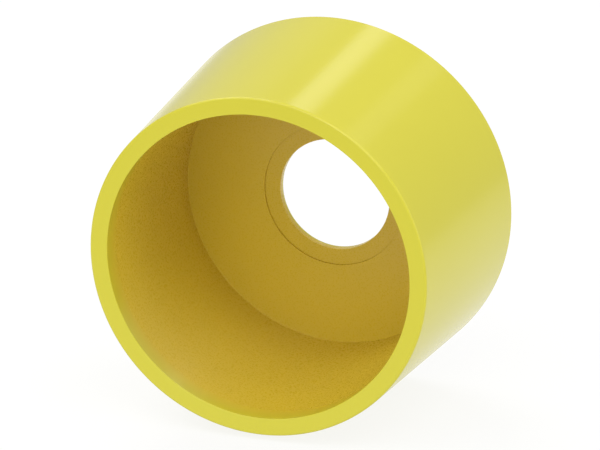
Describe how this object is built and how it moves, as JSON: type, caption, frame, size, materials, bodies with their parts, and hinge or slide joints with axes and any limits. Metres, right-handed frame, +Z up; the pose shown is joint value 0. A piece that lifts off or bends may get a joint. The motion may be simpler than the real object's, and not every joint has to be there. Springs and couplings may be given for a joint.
{
  "type": "emergency stop protective collar",
  "caption": "Yellow moulded protective collar for an emergency stop pushbutton: a deep drafted cup with an actuator hole in its base and a rubber seal ring in its panel face.",
  "frame": {"origin": "centre of the actuator hole, in the plane of the rear face that lies on the panel", "axes": "+Y out of the rear face into the panel, along the axis of the collar; the open rim points to -Y, towards the operator; +Z up and +X to the right as the operator sees it"},
  "size_m": [0.0714, 0.045, 0.0714],
  "materials": {
    "yellow_plastic": "satin gloss, injection moulded",
    "seal_rubber": "matt black moulded rubber"
  },
  "bodies": {
    "root": {"collar": "yellow_plastic", "panel_seal": "seal_rubber"}
  },
  "joints": []
}
